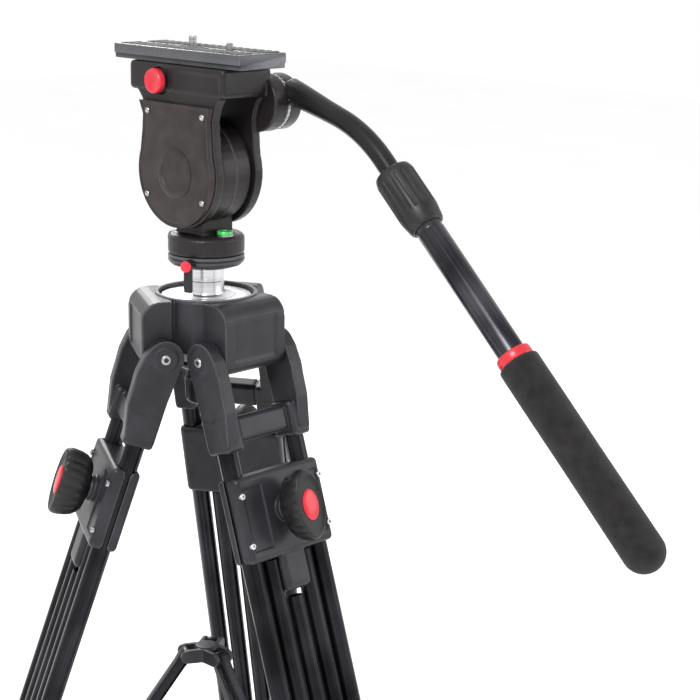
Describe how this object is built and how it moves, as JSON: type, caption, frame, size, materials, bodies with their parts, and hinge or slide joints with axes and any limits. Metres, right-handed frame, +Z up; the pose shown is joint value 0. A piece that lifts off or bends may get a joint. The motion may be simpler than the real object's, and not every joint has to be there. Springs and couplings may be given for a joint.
{
  "type": "video tripod with fluid head",
  "caption": "Three twin-tube telescopic legs with a mid-level spreader, a levelling bowl, and a fluid pan and tilt head with sliding camera plate and pan bar.",
  "frame": {"origin": "centre of the bounding box on the floor plane that the feet stand on", "axes": "+Z up, +Y towards the lens side, -Y towards the operator and the pan bar, +X to the operator's right"},
  "size_m": [0.4638, 0.5764, 0.8559],
  "materials": {
    "painted_casting": "satin grey-black paint over die cast aluminium",
    "painted_head": "fine textured dark paint over die cast magnesium",
    "side_cover": "matte moulded cover",
    "plate": "satin anodised",
    "anodised_tube": "satin anodised, near black",
    "rubber": "moulded, matt",
    "foam_grip": "closed cell foam",
    "steel": "turned",
    "machined_aluminium": "machined, bare",
    "level_liquid": "clear window over green liquid",
    "red_plastic": "moulded, semi gloss"
  },
  "bodies": {
    "bowl": {"bowl_casting": "painted_casting"},
    "rear_leg": {"rear_hinge_pin": "steel", "rear_clevis": "painted_casting", "rear_outer_tube_left": "anodised_tube", "rear_outer_tube_right": "anodised_tube", "rear_crossbar": "painted_casting"},
    "rear_middle_stage": {"rear_middle_frame": "painted_casting", "rear_lower_block": "painted_casting"},
    "rear_foot_stage": {"rear_centre_tube": "anodised_tube", "rear_foot": "rubber"},
    "rear_upper_knob": {"rear_upper_lock_knob": "rubber"},
    "rear_lower_knob": {"rear_lower_lock_knob": "rubber"},
    "front_right_leg": {"front_right_hinge_pin": "steel", "front_right_clevis": "painted_casting", "front_right_outer_tube_left": "anodised_tube", "front_right_outer_tube_right": "anodised_tube", "front_right_crossbar": "painted_casting"},
    "front_right_middle_stage": {"front_right_middle_frame": "painted_casting", "front_right_lower_block": "painted_casting"},
    "front_right_foot_stage": {"front_right_centre_tube": "anodised_tube", "front_right_foot": "rubber"},
    "front_right_upper_knob": {"front_right_upper_lock_knob": "rubber"},
    "front_right_lower_knob": {"front_right_lower_lock_knob": "rubber"},
    "front_left_leg": {"front_left_hinge_pin": "steel", "front_left_clevis": "painted_casting", "front_left_outer_tube_left": "anodised_tube", "front_left_outer_tube_right": "anodised_tube", "front_left_crossbar": "painted_casting"},
    "front_left_middle_stage": {"front_left_middle_frame": "painted_casting", "front_left_lower_block": "painted_casting"},
    "front_left_foot_stage": {"front_left_centre_tube": "anodised_tube", "front_left_foot": "rubber"},
    "front_left_upper_knob": {"front_left_upper_lock_knob": "rubber"},
    "front_left_lower_knob": {"front_left_lower_lock_knob": "rubber"},
    "spreader_hub": {"spreader_hub": "painted_casting"},
    "rear_spreader_arm": {"rear_spreader_arm": "anodised_tube"},
    "front_right_spreader_arm": {"front_right_spreader_arm": "anodised_tube"},
    "front_left_spreader_arm": {"front_left_spreader_arm": "anodised_tube"},
    "level_washer": {"cup_washer": "painted_casting"},
    "ball": {"half_ball": "machined_aluminium", "pan_base": "painted_casting"},
    "ball_knob": {"ball_clamp_knob": "rubber"},
    "pan_lock": {"pan_lock_lever": "painted_head"},
    "pan_head": {"head_body": "painted_head", "level_vial": "level_liquid"},
    "tilt_lock": {"tilt_lock_lever": "painted_head"},
    "tilt_cradle": {"tilt_frame": "painted_head", "side_cover_left": "side_cover", "side_cover_right": "side_cover"},
    "drag_dial": {"tilt_drag_dial": "rubber"},
    "release_button": {"plate_release_button": "red_plastic"},
    "plate_lock": {"plate_lock_lever": "painted_head"},
    "plate": {"camera_plate": "plate", "alignment_pin": "steel"},
    "camera_screw": {"camera_screw": "steel"},
    "bar_rod": {"pan_bar_rod": "painted_head"},
    "bar_knob": {"pan_bar_clamp_knob": "rubber"},
    "bar_tube": {"pan_bar_tube": "anodised_tube", "pan_bar_grip": "foam_grip"},
    "bar_collar": {"pan_bar_collar": "rubber"}
  },
  "joints": [
    {"name": "rear_leg_fold", "type": "hinge", "parent": "bowl", "child": "rear_leg", "pos_m": [0, 0.09485, 0.60693], "axis": [1, 0, 0], "range_deg": [0, 18]},
    {"name": "rear_middle_stage_slide", "type": "slide", "parent": "rear_leg", "child": "rear_middle_stage", "axis": [0, -0.3173, -0.9483], "range_m": [0, 0.32]},
    {"name": "rear_foot_stage_slide", "type": "slide", "parent": "rear_middle_stage", "child": "rear_foot_stage", "axis": [0, -0.3173, -0.9483], "range_m": [0, 0.32]},
    {"name": "rear_upper_knob_turn", "type": "hinge", "parent": "rear_middle_stage", "child": "rear_upper_knob", "pos_m": [0, 0.03717, 0.49125], "axis": [0, -0.9483, 0.3173], "range_deg": [0, 180]},
    {"name": "rear_lower_knob_turn", "type": "hinge", "parent": "rear_middle_stage", "child": "rear_lower_knob", "pos_m": [0, -0.10245, 0.07083], "axis": [0, -0.9483, 0.3173], "range_deg": [0, 180]},
    {"name": "front_right_leg_fold", "type": "hinge", "parent": "bowl", "child": "front_right_leg", "pos_m": [0.03637, 0.15785, 0.60693], "axis": [-0.5, 0.866, 0], "range_deg": [0, 18]},
    {"name": "front_right_middle_stage_slide", "type": "slide", "parent": "front_right_leg", "child": "front_right_middle_stage", "axis": [0.2748, 0.1587, -0.9483], "range_m": [0, 0.32]},
    {"name": "front_right_foot_stage_slide", "type": "slide", "parent": "front_right_middle_stage", "child": "front_right_foot_stage", "axis": [0.2748, 0.1587, -0.9483], "range_m": [0, 0.32]},
    {"name": "front_right_upper_knob_turn", "type": "hinge", "parent": "front_right_middle_stage", "child": "front_right_upper_knob", "pos_m": [0.08633, 0.18669, 0.49125], "axis": [0.8213, 0.4742, 0.3173], "range_deg": [0, 180]},
    {"name": "front_right_lower_knob_turn", "type": "hinge", "parent": "front_right_middle_stage", "child": "front_right_lower_knob", "pos_m": [0.20724, 0.2565, 0.07083], "axis": [0.8213, 0.4742, 0.3173], "range_deg": [0, 180]},
    {"name": "front_left_leg_fold", "type": "hinge", "parent": "bowl", "child": "front_left_leg", "pos_m": [-0.03637, 0.15785, 0.60693], "axis": [-0.5, -0.866, 0], "range_deg": [0, 18]},
    {"name": "front_left_middle_stage_slide", "type": "slide", "parent": "front_left_leg", "child": "front_left_middle_stage", "axis": [-0.2748, 0.1587, -0.9483], "range_m": [0, 0.32]},
    {"name": "front_left_foot_stage_slide", "type": "slide", "parent": "front_left_middle_stage", "child": "front_left_foot_stage", "axis": [-0.2748, 0.1587, -0.9483], "range_m": [0, 0.32]},
    {"name": "front_left_upper_knob_turn", "type": "hinge", "parent": "front_left_middle_stage", "child": "front_left_upper_knob", "pos_m": [-0.08633, 0.18669, 0.49125], "axis": [-0.8213, 0.4742, 0.3173], "range_deg": [0, 180]},
    {"name": "front_left_lower_knob_turn", "type": "hinge", "parent": "front_left_middle_stage", "child": "front_left_lower_knob", "pos_m": [-0.20724, 0.2565, 0.07083], "axis": [-0.8213, 0.4742, 0.3173], "range_deg": [0, 180]},
    {"name": "spreader_hub_rise", "type": "slide", "parent": "bowl", "child": "spreader_hub", "axis": [0, 0, 1], "range_m": [0, 0.0385]},
    {"name": "rear_spreader_arm_swing", "type": "hinge", "parent": "spreader_hub", "child": "rear_spreader_arm", "pos_m": [0, 0.11885, 0.33431], "axis": [1, 0, 0], "range_deg": [0, 34.8]},
    {"name": "front_right_spreader_arm_swing", "type": "hinge", "parent": "spreader_hub", "child": "front_right_spreader_arm", "pos_m": [0.01559, 0.14585, 0.33431], "axis": [-0.5, 0.866, 0], "range_deg": [0, 34.8]},
    {"name": "front_left_spreader_arm_swing", "type": "hinge", "parent": "spreader_hub", "child": "front_left_spreader_arm", "pos_m": [-0.01559, 0.14585, 0.33431], "axis": [-0.5, -0.866, 0], "range_deg": [0, 34.8]},
    {"name": "level_pitch", "type": "hinge", "parent": "bowl", "child": "level_washer", "pos_m": [0, 0.13685, 0.64693], "axis": [1, 0, 0], "range_deg": [-5, 5]},
    {"name": "level_roll", "type": "hinge", "parent": "level_washer", "child": "ball", "pos_m": [0, 0.13685, 0.64693], "axis": [0, 1, 0], "range_deg": [-5, 5]},
    {"name": "ball_knob_turn", "type": "hinge", "parent": "ball", "child": "ball_knob", "pos_m": [0, 0.13685, 0.57193], "axis": [0, 0, 1], "range_deg": [0, 180]},
    {"name": "pan_lock_swing", "type": "hinge", "parent": "ball", "child": "pan_lock", "pos_m": [-0.0281, 0.12375, 0.67893], "axis": [-0.9063, -0.4226, 0], "range_deg": [-30, 30]},
    {"name": "pan", "type": "hinge", "parent": "ball", "child": "pan_head", "pos_m": [0, 0.13685, 0.68293], "axis": [0, 0, 1], "continuous": true},
    {"name": "tilt_lock_swing", "type": "hinge", "parent": "pan_head", "child": "tilt_lock", "pos_m": [0, 0.16985, 0.69093], "axis": [0, 1, 0], "range_deg": [-30, 0]},
    {"name": "tilt", "type": "hinge", "parent": "pan_head", "child": "tilt_cradle", "pos_m": [0, 0.14185, 0.74993], "axis": [1, 0, 0], "range_deg": [-60, 35]},
    {"name": "drag_dial_turn", "type": "hinge", "parent": "tilt_cradle", "child": "drag_dial", "pos_m": [0.0298, 0.14185, 0.74993], "axis": [1, 0, 0], "range_deg": [0, 270]},
    {"name": "release_button_press", "type": "slide", "parent": "tilt_cradle", "child": "release_button", "axis": [1, 0, 0], "range_m": [0, 0.0028], "stiffness_N_per_m": 600},
    {"name": "plate_lock_swing", "type": "hinge", "parent": "tilt_cradle", "child": "plate_lock", "pos_m": [0.026, 0.16685, 0.82293], "axis": [1, 0, 0], "range_deg": [0, 60]},
    {"name": "plate_slide", "type": "slide", "parent": "tilt_cradle", "child": "plate", "axis": [0, 1, 0], "range_m": [-0.025, 0.025]},
    {"name": "camera_screw_slide", "type": "slide", "parent": "plate", "child": "camera_screw", "axis": [0, 1, 0], "range_m": [-0.013, 0.013]},
    {"name": "bar_angle", "type": "hinge", "parent": "tilt_cradle", "child": "bar_rod", "pos_m": [0.035, 0.10085, 0.80593], "axis": [1, 0, 0], "range_deg": [-60, 5]},
    {"name": "bar_knob_turn", "type": "hinge", "parent": "bar_rod", "child": "bar_knob", "pos_m": [0.052, 0.10085, 0.80593], "axis": [1, 0, 0], "range_deg": [0, 270]},
    {"name": "bar_extend", "type": "slide", "parent": "bar_rod", "child": "bar_tube", "axis": [0, -0.7193, -0.6947], "range_m": [0, 0.12]},
    {"name": "bar_collar_turn", "type": "hinge", "parent": "bar_tube", "child": "bar_collar", "pos_m": [0.0436, -0.04465, 0.74313], "axis": [0, -0.7193, -0.6947], "range_deg": [0, 90]}
  ],
  "couplings": [
    {"joint": "front_right_leg_fold", "follows": "rear_leg_fold", "ratio": 1},
    {"joint": "front_left_leg_fold", "follows": "rear_leg_fold", "ratio": 1},
    {"joint": "spreader_hub_rise", "follows": "rear_leg_fold", "m_per_rad": 0.12204},
    {"joint": "rear_spreader_arm_swing", "follows": "rear_leg_fold", "ratio": 1.93},
    {"joint": "front_right_spreader_arm_swing", "follows": "rear_leg_fold", "ratio": 1.93},
    {"joint": "front_left_spreader_arm_swing", "follows": "rear_leg_fold", "ratio": 1.93}
  ]
}
